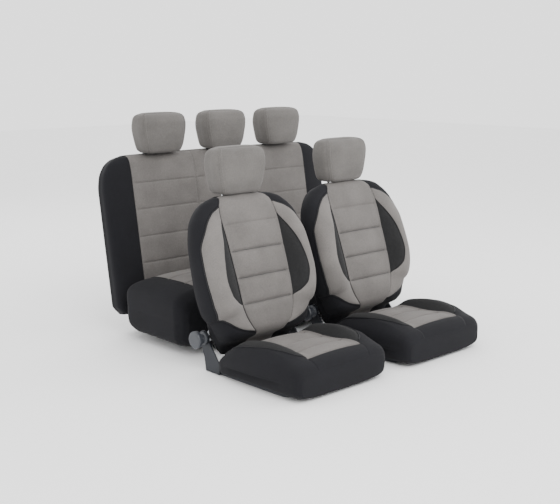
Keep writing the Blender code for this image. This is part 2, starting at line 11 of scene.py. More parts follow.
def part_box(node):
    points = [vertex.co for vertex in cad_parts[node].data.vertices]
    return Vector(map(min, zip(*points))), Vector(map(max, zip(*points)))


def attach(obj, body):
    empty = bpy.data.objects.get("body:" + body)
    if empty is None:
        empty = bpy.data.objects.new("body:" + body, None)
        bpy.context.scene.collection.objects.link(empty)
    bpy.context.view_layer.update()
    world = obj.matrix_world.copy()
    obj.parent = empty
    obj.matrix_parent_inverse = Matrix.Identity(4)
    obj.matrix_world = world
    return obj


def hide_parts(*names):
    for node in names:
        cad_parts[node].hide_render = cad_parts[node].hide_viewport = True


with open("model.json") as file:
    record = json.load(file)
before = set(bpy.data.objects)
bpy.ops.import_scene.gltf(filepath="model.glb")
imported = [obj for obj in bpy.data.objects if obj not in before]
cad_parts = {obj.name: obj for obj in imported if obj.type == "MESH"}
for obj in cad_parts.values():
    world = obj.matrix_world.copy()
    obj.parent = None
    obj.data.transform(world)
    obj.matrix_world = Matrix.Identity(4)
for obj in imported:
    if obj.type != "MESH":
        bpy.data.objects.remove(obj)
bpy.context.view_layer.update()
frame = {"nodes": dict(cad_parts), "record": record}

SIDES = ("front_left", "front_right")
REAR_PLACES = ("left", "centre", "right")

# Camera place in metres, its turn and pitch in degrees, and its lens in millimetres
CAMERA_PLACE = (-3.2502, -3.3054, 1.3181)
CAMERA_TURN = 43.24
CAMERA_PITCH = -11.145
CAMERA_LENS = 62.3

# Grid of a cover, in metres between neighbouring points
FINE = 0.0042

# Sewing
PIPING_RADIUS = 0.0024
STITCH_LENGTH = 0.0042
STITCH_PITCH = 0.0066
STITCH_RADIUS = 0.00055


# ---------------------------------------------------------------- materials


def socket(shader, name, value):
    """Sets one constant on a shader."""
    shader.inputs[name].default_value = value


def cloth_material(name, color, thread, roughness=0.9, sheen=0.25, bump=0.25, mottling=0.18,
                   rib=0.0):
    """Knitted cloth: a fine crossed weave, slubs and slow colour drift; thread is the pitch in metres."""
    result = bpy.data.materials.new(name)
    result.use_nodes = True
    nodes = result.node_tree.nodes
    links = result.node_tree.links
    shader = nodes["Principled BSDF"]
    socket(shader, "Roughness", roughness)
    socket(shader, "Sheen Weight", sheen)
    socket(shader, "Sheen Roughness", 0.45)
    socket(shader, "Sheen Tint", (*[min(1.0, part * 1.3 + 0.25) for part in color], 1.0))
    socket(shader, "Specular IOR Level", 0.25)
    place = nodes.new("ShaderNodeTexCoord")

    turned = nodes.new("ShaderNodeMapping")
    turned.inputs["Rotation"].default_value = (radians(45), radians(35), radians(45))
    links.new(place.outputs["Object"], turned.inputs["Vector"])
    weave = nodes.new("ShaderNodeTexVoronoi")
    weave.feature = "F1"
    socket(weave, "Scale", 1.0 / thread)
    socket(weave, "Randomness", 0.35)
    links.new(turned.outputs["Vector"], weave.inputs["Vector"])

    slub = nodes.new("ShaderNodeTexNoise")
    socket(slub, "Scale", 0.22 / thread)
    socket(slub, "Detail", 5.0)
    socket(slub, "Roughness", 0.65)
    links.new(place.outputs["Object"], slub.inputs["Vector"])
    drift = nodes.new("ShaderNodeTexNoise")
    socket(drift, "Scale", 9.0)
    socket(drift, "Detail", 3.0)
    links.new(place.outputs["Object"], drift.inputs["Vector"])

    ramp = nodes.new("ShaderNodeValToRGB")
    low = [part * (1.0 - mottling) for part in color]
    high = [min(1.0, part * (1.0 + mottling)) for part in color]
    ramp.color_ramp.elements[0].color = (*low, 1.0)
    ramp.color_ramp.elements[0].position = 0.30
    ramp.color_ramp.elements[1].color = (*high, 1.0)
    ramp.color_ramp.elements[1].position = 0.70
    links.new(slub.outputs["Fac"], ramp.inputs["Fac"])

    drift_ramp = nodes.new("ShaderNodeValToRGB")
    drift_ramp.color_ramp.elements[0].color = (0.88, 0.88, 0.88, 1.0)
    drift_ramp.color_ramp.elements[0].position = 0.35
    drift_ramp.color_ramp.elements[1].color = (1.06, 1.06, 1.06, 1.0)
    drift_ramp.color_ramp.elements[1].position = 0.65
    links.new(drift.outputs["Fac"], drift_ramp.inputs["Fac"])
    blend = nodes.new("ShaderNodeMixRGB")
    blend.blend_type = "MULTIPLY"
    socket(blend, "Fac", 1.0)
    links.new(ramp.outputs["Color"], blend.inputs["Color1"])
    links.new(drift_ramp.outputs["Color"], blend.inputs["Color2"])

    holes = nodes.new("ShaderNodeValToRGB")
    holes.color_ramp.elements[0].color = (1.0, 1.0, 1.0, 1.0)
    holes.color_ramp.elements[0].position = 0.35
    holes.color_ramp.elements[1].color = (0.72, 0.72, 0.72, 1.0)
    holes.color_ramp.elements[1].position = 0.85
    links.new(weave.outputs["Distance"], holes.inputs["Fac"])
    knit = nodes.new("ShaderNodeMixRGB")
    knit.blend_type = "MULTIPLY"
    socket(knit, "Fac", 0.8)
    links.new(blend.outputs["Color"], knit.inputs["Color1"])
    links.new(holes.outputs["Color"], knit.inputs["Color2"])
    links.new(knit.outputs["Color"], shader.inputs["Base Color"])

    height = nodes.new("ShaderNodeMath")
    height.operation = "MULTIPLY_ADD"
    socket_value = height.inputs[1]
    socket_value.default_value = -0.7
    links.new(weave.outputs["Distance"], height.inputs[0])
    links.new(slub.outputs["Fac"], height.inputs[2])
    fine = nodes.new("ShaderNodeBump")
    socket(fine, "Strength", bump)
    socket(fine, "Distance", thread * 0.6)
    links.new(height.outputs["Value"], fine.inputs["Height"])
    last = fine
    if rib:
        waves = nodes.new("ShaderNodeTexWave")
        waves.wave_type = "BANDS"
        waves.bands_direction = "Z"
        socket(waves, "Scale", 1.0 / rib)
        socket(waves, "Distortion", 0.6)
        links.new(place.outputs["Object"], waves.inputs["Vector"])
        last = nodes.new("ShaderNodeBump")
        socket(last, "Strength", 0.15)
        socket(last, "Distance", 0.0006)
        links.new(waves.outputs["Fac"], last.inputs["Height"])
        links.new(fine.outputs["Normal"], last.inputs["Normal"])
    links.new(last.outputs["Normal"], shader.inputs["Normal"])
    return result


def solid_material(name, color, roughness, metallic, grain, strength, speckle=0.12):
    """Plastic or metal: a fine moulded or brushed grain with slightly uneven gloss and tone."""
    result = bpy.data.materials.new(name)
    result.use_nodes = True
    nodes = result.node_tree.nodes
    links = result.node_tree.links
    shader = nodes["Principled BSDF"]
    socket(shader, "Metallic", metallic)
    place = nodes.new("ShaderNodeTexCoord")
    noise = nodes.new("ShaderNodeTexNoise")
    socket(noise, "Scale", 1.0 / grain)
    socket(noise, "Detail", 4.0)
    links.new(place.outputs["Object"], noise.inputs["Vector"])
    slow = nodes.new("ShaderNodeTexNoise")
    socket(slow, "Scale", 14.0)
    socket(slow, "Detail", 4.0)
    links.new(place.outputs["Object"], slow.inputs["Vector"])
    tone = nodes.new("ShaderNodeValToRGB")
    tone.color_ramp.elements[0].color = (*[part * (1 - speckle) for part in color], 1.0)
    tone.color_ramp.elements[0].position = 0.35
    tone.color_ramp.elements[1].color = (*[min(1.0, part * (1 + speckle)) for part in color], 1.0)
    tone.color_ramp.elements[1].position = 0.65
    links.new(slow.outputs["Fac"], tone.inputs["Fac"])
    links.new(tone.outputs["Color"], shader.inputs["Base Color"])
    gloss = nodes.new("ShaderNodeMapRange")
    socket(gloss, "To Min", max(0.05, roughness - 0.08))
    socket(gloss, "To Max", min(1.0, roughness + 0.10))
    links.new(slow.outputs["Fac"], gloss.inputs["Value"])
    links.new(gloss.outputs["Result"], shader.inputs["Roughness"])
    bumps = nodes.new("ShaderNodeBump")
    socket(bumps, "Strength", strength)
    socket(bumps, "Distance", grain * 0.5)
    links.new(noise.outputs["Fac"], bumps.inputs["Height"])
    links.new(bumps.outputs["Normal"], shader.inputs["Normal"])
    return result


def make_looks():
    """Every finish on the set."""
    return {
        "grey": cloth_material("grey_knit", (0.127, 0.118, 0.112), 0.0016, mottling=0.10),
        "strip": cloth_material("strip_knit", (0.146, 0.136, 0.129), 0.0014, mottling=0.08),
        "head": cloth_material("headrest_knit", (0.116, 0.109, 0.103), 0.0016, mottling=0.10),
        "black": cloth_material("black_knit", (0.0055, 0.0055, 0.0075), 0.0015, sheen=0.06,
                                mottling=0.15, bump=0.2),
        "insert": cloth_material("insert_mesh", (0.0135, 0.0135, 0.0140), 0.0022, sheen=0.06,
                                 bump=0.45, mottling=0.20),
        "piping": cloth_material("piping_cord", (0.0050, 0.0050, 0.0065), 0.0010, sheen=0.08,
                                 roughness=0.6, bump=0.15),
        "thread_light": solid_material("thread_light", (0.16, 0.152, 0.144), 0.6, 0.0, 0.0006, 0.2),
        # Near-black finish for the cords laid in the channel grooves: painted shade at the bottom of each
        # groove, not a thread colour.
        "groove_shade": solid_material("groove_shade", (0.03, 0.03, 0.035), 0.6, 0.0, 0.0006, 0.2),
        "plastic": solid_material("blue_grey_plastic", (0.030, 0.033, 0.040), 0.42, 0.0, 0.0009,
                                  0.12),
        "black_plastic": solid_material("black_plastic_trim", (0.012, 0.012, 0.013), 0.45, 0.0,
                                        0.0008, 0.15),
        "black_metal": solid_material("black_coated_metal", (0.020, 0.022, 0.027), 0.45, 0.5,
                                      0.0015, 0.10),
        "steel": solid_material("plain_steel", (0.38, 0.39, 0.41), 0.35, 1.0, 0.0012, 0.08),
        "chrome": solid_material("post_chrome", (0.72, 0.73, 0.75), 0.12, 1.0, 0.002, 0.02, 0.03),
    }


# ---------------------------------------------------------------- mesh tools


def smooth_curve(knots):
    """A smooth function through (place, value) knots that never overshoots them."""
    xs = np.array([knot[0] for knot in knots], float)
    ys = np.array([knot[1] for knot in knots], float)
    steps = np.diff(xs)
    slopes = np.diff(ys) / steps
    tangents = np.zeros(len(xs))
    for index in range(1, len(xs) - 1):
        before = slopes[index - 1]
        after = slopes[index]
        if before * after > 0:
            tangents[index] = 2 * before * after / (before + after)
    tangents[0] = slopes[0]
    tangents[-1] = slopes[-1]

    def value(at):
        at = np.clip(np.asarray(at, float), xs[0], xs[-1])
        index = np.clip(np.searchsorted(xs, at) - 1, 0, len(xs) - 2)
        part = (at - xs[index]) / steps[index]
        square = part * part
        cube = square * part
        first = (2 * cube - 3 * square + 1) * ys[index]
        second = (cube - 2 * square + part) * steps[index] * tangents[index]
        third = (3 * square - 2 * cube) * ys[index + 1]
        fourth = (cube - square) * steps[index] * tangents[index + 1]
        return first + second + third + fourth

    return value


def hump(at, low, high, power=1.0):
    """Zero outside low..high and one in the middle, as a half sine."""
    part = np.clip((np.asarray(at, float) - low) / (high - low), 0.0, 1.0)
    return np.sin(pi * part) ** power


def groove(at, centre, width):
    """One at the centre of a sewn line, falling to zero over its width."""
    return np.exp(-((np.asarray(at, float) - centre) / width) ** 2)


def add_mesh(name, verts, faces, looks, face_looks, body):
    """An object from arrays, smooth, with a material per face, riding on a body."""
    mesh = bpy.data.meshes.new(name)
    mesh.from_pydata([tuple(vert) for vert in verts], [], faces)
    for look in looks:
        mesh.materials.append(look)
    mesh.polygons.foreach_set("material_index", face_looks)
    shape = bmesh.new()
    shape.from_mesh(mesh)
    bmesh.ops.remove_doubles(shape, verts=shape.verts, dist=0.00008)
    bmesh.ops.dissolve_degenerate(shape, edges=shape.edges, dist=0.00005)
    bmesh.ops.recalc_face_normals(shape, faces=shape.faces)
    shape.to_mesh(mesh)
    shape.free()
    mesh.shade_smooth()
    result = bpy.data.objects.new(name, mesh)
    bpy.context.scene.collection.objects.link(result)
    if body:
        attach(result, body)
    return result


def tube_mesh(paths, radius, sides=8):
    """Verts and faces of round tubes along several point lists."""
    verts = []
    faces = []
    for path in paths:
        path = np.asarray(path, float)
        count = len(path)
        tangents = np.gradient(path, axis=0)
        tangents /= np.maximum(np.linalg.norm(tangents, axis=1), 1e-9)[:, None]
        normal = np.cross(tangents[0], (0.3, 0.5, 0.81))
        base = len(verts)
        for index in range(count):
            normal = normal - tangents[index] * normal.dot(tangents[index])
            normal /= max(np.linalg.norm(normal), 1e-9)
            binormal = np.cross(tangents[index], normal)
            for side in range(sides):
                angle = 2 * pi * side / sides
                offset = normal * cos(angle) + binormal * sin(angle)
                verts.append(path[index] + offset * radius)
        for index in range(count - 1):
            for side in range(sides):
                following = (side + 1) % sides
                low = base + index * sides
                high = low + sides
                faces.append((low + side, low + following, high + following, high + side))
        faces.append(tuple(base + side for side in range(sides))[::-1])
        faces.append(tuple(base + (count - 1) * sides + side for side in range(sides)))
    return verts, faces


def piping(name, paths, look, body, radius=PIPING_RADIUS):
    """Round cord sewn into seams."""
    verts, faces = tube_mesh(paths, radius)
    return add_mesh(name, verts, faces, [look], [0] * len(faces), body)


def even_path(path, step):
    """The same path with points at an even spacing."""
    path = np.asarray(path, float)
    lengths = np.linalg.norm(np.diff(path, axis=0), axis=1)
    travelled = np.concatenate([[0.0], np.cumsum(lengths)])
    count = max(2, int(travelled[-1] / step))
    places = np.linspace(0, travelled[-1], count)
    return np.stack([np.interp(places, travelled, path[:, axis]) for axis in range(3)], axis=1)


def stitches(name, paths, look, body):
    """Rows of single stitches lying on the cloth along each path."""
    short = []
    for path in paths:
        if len(path) < 3:
            continue
        points = even_path(path, STITCH_PITCH)
        for start, finish in zip(points[:-1], points[1:]):
            direction = finish - start
            length = np.linalg.norm(direction)
            if length < STITCH_PITCH * 0.5:
                continue
            half = direction / length * STITCH_LENGTH / 2
            middle = (start + finish) / 2
            short.append([middle - half, middle, middle + half])
    verts, faces = tube_mesh(short, STITCH_RADIUS, 5)
    return add_mesh(name, verts, faces, [look], [0] * len(faces), body)


# ---------------------------------------------------------------- sewn cover


class Cover:
    """A closed sewn skin made of loops round an axis, with panels between seam lines.

    width, front and back are functions of the height along the axis. seams are functions of the
    height that give the x of each seam on the front, from left to right; panels name the finish
    between them, and there is one more panel than seams. shape(height, x, panel, part) returns
    how far the front skin stands out, where part runs 0..1 across a panel.
    """

    def __init__(self, heights, width, front, back, seams, panels, shape, power=4.0, rear="black",
                 rear_shape=None):
        self.heights = np.asarray(heights, float)
        self.width = width
        self.front = front
        self.back = back
        self.seams = seams
        self.panels = panels
        self.shape = shape
        self.power = power
        self.rear = rear
        self.rear_shape = rear_shape
        self.build()

    def section(self, height):
        """One dense superellipse section: left to right across the front, then round the back."""
        wide = float(self.width(height))
        front = float(self.front(height))
        back = float(self.back(height))
        angles = np.linspace(-pi, pi, 721)
        across = np.cos(angles)
        along = np.sin(angles)
        x = wide * np.sign(across) * np.abs(across) ** (2 / self.power)
        half = (back - front) / 2
        y = (front + back) / 2 + half * np.sign(along) * np.abs(along) ** (2 / self.power)
        steps = np.hypot(np.diff(x), np.diff(y))
        return x, y, np.concatenate([[0.0], np.cumsum(steps)])

    def build(self):
        """Grid of points, their panels, and the index of every seam's column."""
        middle = self.heights[len(self.heights) // 2]
        wide = float(self.width(middle))
        keys = [-wide] + [float(seam(middle)) for seam in self.seams] + [wide]
        widest = []
        for left, right in zip(range(len(keys) - 1), range(1, len(keys))):
            spans = []
            for height in self.heights:
                limits = self.keys_at(height)
                spans.append(limits[right] - limits[left])
            widest.append(max(spans))
        counts = [max(4, int(round(span / FINE))) for span in widest]
        depth = float(self.back(middle) - self.front(middle))
        rear_count = max(16, int(round((2 * wide + 2 * depth) / (FINE * 2.2))))
        rows = []
        parts = []
        for height in self.heights:
            x, y, travelled = self.section(height)
            half = len(x) // 2
            front_x = x[:half + 1]
            front_s = travelled[:half + 1]
            limits = self.keys_at(height)
            stops = np.interp(limits, front_x, front_s)
            stops[0] = 0.0
            stops[-1] = front_s[-1]
            places = []
            for count, start, finish in zip(counts, stops[:-1], stops[1:]):
                places.append(start + (finish - start) * np.arange(count) / count)
            rear = stops[-1] + (travelled[-1] - stops[-1]) * np.arange(rear_count) / rear_count
            places = np.concatenate(places + [rear])
            rows.append(np.stack([np.interp(places, travelled, x), np.interp(places, travelled, y),
                                  np.full(len(places), height)], axis=1))
        self.points = np.array(rows)
        self.band = []
        for index, count in enumerate(counts):
            self.band += [index] * count
            parts += list(np.arange(count) / count)
        self.band += [len(counts)] * rear_count
        parts += list(np.arange(rear_count) / rear_count)
        self.band = np.array(self.band)
        self.part = np.array(parts)
        self.seam_columns = list(np.cumsum(counts)[:-1])
        self.edge_columns = [0] + [int(np.sum(counts))]
        along = np.gradient(self.points, axis=0)
        around = (np.roll(self.points, -1, axis=1) - np.roll(self.points, 1, axis=1))
        normal = np.cross(around, along)
        length = np.maximum(np.linalg.norm(normal, axis=2), 1e-9)
        normal /= length[:, :, None]
        centre = self.points.mean(axis=1, keepdims=True)
        outward = np.sum((self.points - centre) * normal, axis=2).mean()
        self.normal = normal if outward > 0 else -normal
        stand = np.zeros(self.points.shape[:2])
        for column, (band, part) in enumerate(zip(self.band, self.part)):
            x = self.points[:, column, 0]
            if band < len(self.panels):
                stand[:, column] = self.shape(self.heights, x, band, part)
            elif self.rear_shape is not None:
                stand[:, column] = self.rear_shape(self.heights, x, part)
        self.points = self.points + self.normal * stand[:, :, None]

    def keys_at(self, height):
        """The x of both edges and every seam at one height, in order."""
        wide = float(self.width(height))
        keys = [-wide]
        for seam in self.seams:
            keys.append(float(np.clip(seam(height), -wide * 0.995, wide * 0.995)))
        keys.append(wide)
        return np.maximum.accumulate(np.array(keys))

    def end_rows(self, row, depth, steps=8):
        """Loops that close an end: they shrink to the middle while the skin domes by depth."""
        centre = row.mean(axis=0)
        rows = []
        for step in range(1, steps + 1):
            angle = pi / 2 * step / steps
            scale = cos(angle) if step < steps else 0.002
            moved = centre + (row - centre) * scale
            moved[:, 2] += depth * sin(angle)
            rows.append(moved)
        return rows

    def make(self, name, looks, body, place, low_dome, high_dome, panel_rows=None):
        """The mesh object; panel_rows(row height, band) may name another finish by height."""
        rows = [row for row in self.points]
        low = self.end_rows(rows[0], -low_dome)[::-1]
        high = self.end_rows(rows[-1], high_dome)
        skipped = len(low)
        rows = low + rows + high
        grid = np.array(rows)
        count = grid.shape[1]
        names = list(dict.fromkeys(self.panels + [self.rear]))
        if panel_rows:
            names = list(dict.fromkeys(names + ["black", "grey", "strip", "insert"]))
        verts = self.placed(grid.reshape(-1, 3), place)
        faces = []
        finishes = []
        for row in range(len(rows) - 1):
            level = min(max(row - skipped, 0), len(self.heights) - 1)
            for column in range(count):
                following = (column + 1) % count
                low_row = row * count
                high_row = low_row + count
                faces.append((low_row + column, low_row + following, high_row + following,
                              high_row + column))
                band = self.band[column]
                finish = self.panels[band] if band < len(self.panels) else self.rear
                if panel_rows:
                    finish = panel_rows(self.heights[level], band, finish)
                finishes.append(names.index(finish))
        return add_mesh(name, verts, faces, [looks[item] for item in names], finishes, body)

    def placed(self, points, place):
        """Points moved from the cover's own axes to the world."""
        turn = np.array(place.to_3x3())
        return points @ turn.T + np.array(place.translation)

    def seam_path(self, number, place, low, high, rise=0.0):
        """World points along a seam between two heights, lifted off the skin by rise."""
        column = self.seam_columns[number]
        return self.column_path(column, place, low, high, rise)

    def column_path(self, column, place, low, high, rise=0.0):
        """World points along one grid column between two heights."""
        chosen = (self.heights >= low) & (self.heights <= high)
        column = column % self.points.shape[1]
        points = self.points[chosen, column] + self.normal[chosen, column] * rise
        return self.placed(points, place)

    def row_path(self, height, first, last, place, rise=0.0):
        """World points along one grid row between two columns."""
        row = int(np.argmin(np.abs(self.heights - height)))
        columns = np.arange(first, last + 1) % self.points.shape[1]
        points = self.points[row, columns] + self.normal[row, columns] * rise
        return self.placed(points, place)


def height_steps(low, high, keep=()):
    """Even heights from low to high at the fine pitch, and denser at both ends."""
    count = int((high - low) / FINE)
    even = np.linspace(low, high, count)
    ends = [low + FINE * 0.25, low + FINE * 0.6, high - FINE * 0.6, high - FINE * 0.25]
    return np.unique(np.concatenate([even, ends, np.array(keep, float)]))


# ---------------------------------------------------------------- front seats


# How far the backrests lean, in degrees, and half the bench's width
FRONT_LEAN = 19.5
REAR_LEAN = 9.5
BENCH_HALF_WIDTH = 0.739

# Headrest skins: half width, height and half depth
FRONT_HEADREST = (0.1440, 0.200, 0.0680)
REAR_HEADREST = (0.1382, 0.192, 0.0680)

# Heights on the front backrest: its channels, the ends of the inserts and strips, and its hem
CHANNELS = (0.098, 0.211, 0.329, 0.448)
LENS = (0.098, 0.470)
BACK_HEM = -0.085
STRIP = (-0.020, 0.530)


def front_backrest():
    """The sewn skin of a front backrest in its leaning axes, zero at the recliner axis."""
    width = smooth_curve([(BACK_HEM, 0.190), (-0.035, 0.222), (0.0, 0.236), (0.06, 0.240),
                          (0.11, 0.262), (0.20, 0.2735), (0.35, 0.2735), (0.44, 0.270), (0.50, 0.254),
                          (0.541, 0.226), (0.565, 0.188), (0.578, 0.142)])
    front = smooth_curve([(BACK_HEM, -0.030), (-0.050, -0.078), (-0.035, -0.150), (0.0, -0.176),
                          (0.06, -0.184), (0.20, -0.188), (0.35, -0.186), (0.50, -0.184),
                          (0.541, -0.182), (0.565, -0.170), (0.578, -0.148)])
    back = smooth_curve([(BACK_HEM, 0.000), (-0.035, 0.016), (0.0, 0.022), (0.06, 0.020),
                         (0.11, 0.012), (0.20, 0.0),
                         (0.35, -0.030), (0.44, -0.050), (0.50, -0.066), (0.541, -0.078),
                         (0.565, -0.090), (0.578, -0.108)])
    centre = smooth_curve([(BACK_HEM, 0.080), (-0.035, 0.085), (0.0, 0.112), (0.05, 0.136),
                           (0.12, 0.150),
                           (0.35, 0.157), (0.47, 0.161), (0.53, 0.153), (0.578, 0.122)])

    lens = smooth_curve([(LENS[0], 0.0), (LENS[0] + 0.015, 0.030), (LENS[0] + 0.05, 0.058),
                         (LENS[0] + 0.11, 0.068), (0.30, 0.058), (0.40, 0.030), (LENS[1], 0.0)])
    strip = smooth_curve([(STRIP[0], 0.0), (STRIP[0] + 0.012, 0.045), (STRIP[0] + 0.04, 0.080),
                          (0.12, 0.104), (0.20, 0.110), (0.35, 0.108), (0.44, 0.088),
                          (0.50, 0.050), (STRIP[1], 0.0)])

    def lens_edge(height):
        inside = LENS[0] < height < LENS[1]
        return float(centre(height)) + (float(lens(height)) if inside else 0.0)

    def strip_edge(height):
        inside = STRIP[0] < height < STRIP[1]
        return max(lens_edge(height), float(centre(height)) + (float(strip(height)) if inside else 0))

    seams = [
        lambda height: -strip_edge(height),
        lambda height: -lens_edge(height),
        lambda height: -float(centre(height)),
        lambda height: float(centre(height)),
        lens_edge,
        strip_edge,
    ]
    panels = ["black", "strip", "insert", "grey", "insert", "strip", "black"]
    tall = smooth_curve([(-0.035, 0.0), (0.04, 0.35), (0.12, 0.85), (0.22, 1.0), (0.36, 0.92),
                         (0.46, 0.55), (0.53, 0.15), (0.578, 0.0)])

    def shape(heights, x, band, part):
        reach = np.clip((np.abs(x) - 0.135) / 0.090, 0.0, 1.0)
        ridge = reach * reach * (3 - 2 * reach)
        fall = np.clip((np.abs(x) - 0.235) / 0.040, 0.0, 1.0)
        stand = 0.062 * tall(heights) * ridge * (1 - 0.35 * fall * fall)
        if band == 3:
            puff = 0.026 * np.sin(pi * part) ** 0.55 * hump(heights, -0.035, 0.60, 0.5)
            stand = stand + puff
            for level in CHANNELS:
                deep = 0.0095 if level < 0.4 else 0.0035
                edge = min(1.0, sin(pi * part) * 4.0)
                stand = stand - deep * groove(heights, level, 0.0045) * edge
                stand = stand - deep * 0.55 * groove(heights, level, 0.018) * edge
        elif band in (2, 4):
            stand = stand + 0.004 * sin(pi * part) - 0.0025
        elif band in (1, 5):
            inside = hump(heights, STRIP[0], STRIP[1], 0.3)
            stand = stand + 0.010 * sin(pi * part) ** 0.6 * inside
        else:
            stand = stand + 0.004 * sin(pi * part)
        return stand

    def rear_shape(heights, x, part):
        return 0.004 * sin(pi * part) * np.sin(heights * 9.0) ** 2

    return Cover(height_steps(BACK_HEM, 0.578, CHANNELS + LENS + STRIP), width, front, back, seams,
                 panels, shape, 4.0, "black", rear_shape)


def front_cushion():
    """The skin of a front cushion; its height runs from the front edge to the back edge.

    In the cover's own axes x is across the seat, -y is up and z runs backwards.
    """
    width = smooth_curve([(0.0, 0.246), (0.012, 0.260), (0.035, 0.269), (0.08, 0.2735),
                          (0.40, 0.2735), (0.46, 0.268), (0.49, 0.256)])
    top = smooth_curve([(0.0, -0.118), (0.012, -0.138), (0.035, -0.151), (0.09, -0.156),
                        (0.25, -0.146), (0.37, -0.138), (0.44, -0.118), (0.49, -0.090)])
    bottom = smooth_curve([(0.0, -0.012), (0.02, -0.003), (0.05, -0.001), (0.49, -0.001)])
    centre = smooth_curve([(0.0, 0.150), (0.05, 0.158), (0.20, 0.140), (0.35, 0.150),
                           (0.49, 0.175)])
    moon = smooth_curve([(0.075, 0.0), (0.10, 0.040), (0.18, 0.080), (0.27, 0.092), (0.38, 0.085),
                         (0.49, 0.060)])

    def moon_edge(height):
        return float(centre(height)) + (float(moon(height)) if height > 0.075 else 0.0)

    seams = [
        lambda height: -moon_edge(height),
        lambda height: -float(centre(height)),
        lambda height: float(centre(height)),
        moon_edge,
    ]
    panels = ["black", "insert", "grey", "insert", "black"]
    rise = smooth_curve([(0.0, 0.0), (0.06, 0.15), (0.14, 0.75), (0.24, 1.0), (0.36, 0.75),
                         (0.44, 0.2), (0.49, 0.0)])

    def shape(heights, x, band, part):
        reach = np.clip((np.abs(x) - 0.120) / 0.075, 0.0, 1.0)
        ridge = reach * reach * (3 - 2 * reach)
        fall = np.clip((np.abs(x) - 0.235) / 0.035, 0.0, 1.0)
        stand = 0.042 * rise(heights) * ridge * (1 - 0.5 * fall)
        if band == 2:
            stand = stand + 0.014 * np.sin(pi * part) ** 0.6 * hump(heights, 0.0, 0.55, 0.4)
            for level in (0.150, 0.262, 0.372):
                edge = min(1.0, sin(pi * part) * 4.0)
                stand = stand - 0.0075 * groove(heights, level, 0.0045) * edge
                stand = stand - 0.0040 * groove(heights, level, 0.016) * edge
            stand = stand - 0.005 * groove(heights, FRONT_BAND, 0.004)
        elif band in (1, 3):
            stand = stand + 0.008 * sin(pi * part) ** 0.7 * rise(heights)
        return stand

    return Cover(height_steps(0.0, 0.49, (0.150, 0.262, 0.372, FRONT_BAND)), width, top, bottom,
                 seams, panels, shape, 4.5)


FRONT_BAND = 0.058


def headrest(wide, tall, deep):
    """A headrest skin with a face panel and side panels, zero at its underside."""
    width = smooth_curve([(0.0, wide - 0.044), (tall * 0.06, wide - 0.030),
                          (tall * 0.30, wide - 0.014), (tall * 0.70, wide), (tall * 0.88, wide - 0.004),
                          (tall * 0.96, wide - 0.013), (tall, wide - 0.034)])
    front = smooth_curve([(0.0, -deep + 0.020), (tall * 0.06, -deep + 0.008),
                          (tall * 0.30, -deep), (tall * 0.75, -deep + 0.001),
                          (tall * 0.90, -deep + 0.010), (tall * 0.97, -deep + 0.024),
                          (tall, -deep + 0.038)])
    back = smooth_curve([(0.0, deep - 0.016), (tall * 0.08, deep - 0.004), (tall * 0.5, deep),
                         (tall * 0.85, deep - 0.008), (tall * 0.97, deep - 0.026),
                         (tall, deep - 0.038)])
    seams = [lambda height: -float(width(height)) * 0.93, lambda height: float(width(height)) * 0.93]
    panels = ["head", "head", "head"]

    def shape(heights, x, band, part):
        if band == 1:
            return 0.005 * np.sin(pi * part) ** 0.5 * hump(heights, 0.0, tall, 0.4)
        return 0.003 * sin(pi * part) * hump(heights, 0.0, tall, 0.5)

    return Cover(height_steps(0.0, tall), width, front, back, seams, panels, shape, 4.6, "head")


def dress_headrest(name, skin, body, looks, node):
    """Puts a headrest skin where its CAD node is, with its seams."""
    low, high = [Vector(corner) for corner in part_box(node)]
    place = Matrix.Translation(((low.x + high.x) / 2, (low.y + high.y) / 2, low.z))
    cover = skin.make(name + "_headrest_skin", looks, body, place, 0.004, 0.006)
    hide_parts(node, node.replace("cover", "foam"))
    top = float(skin.heights[-1])
    paths = [skin.seam_path(0, place, 0.0, top, 0.0006), skin.seam_path(1, place, 0.0, top, 0.0006)]
    welts = piping(name + "_headrest_welts", paths, looks["head"], body, 0.0013)
    rows = []
    for number, side in ((0, 3), (1, -3)):
        column = skin.seam_columns[number] + side
        rows.append(skin.column_path(column, place, 0.004, top - 0.003, 0.0006))
    sewn = stitches(name + "_headrest_stitches", rows, looks["thread_light"], body)


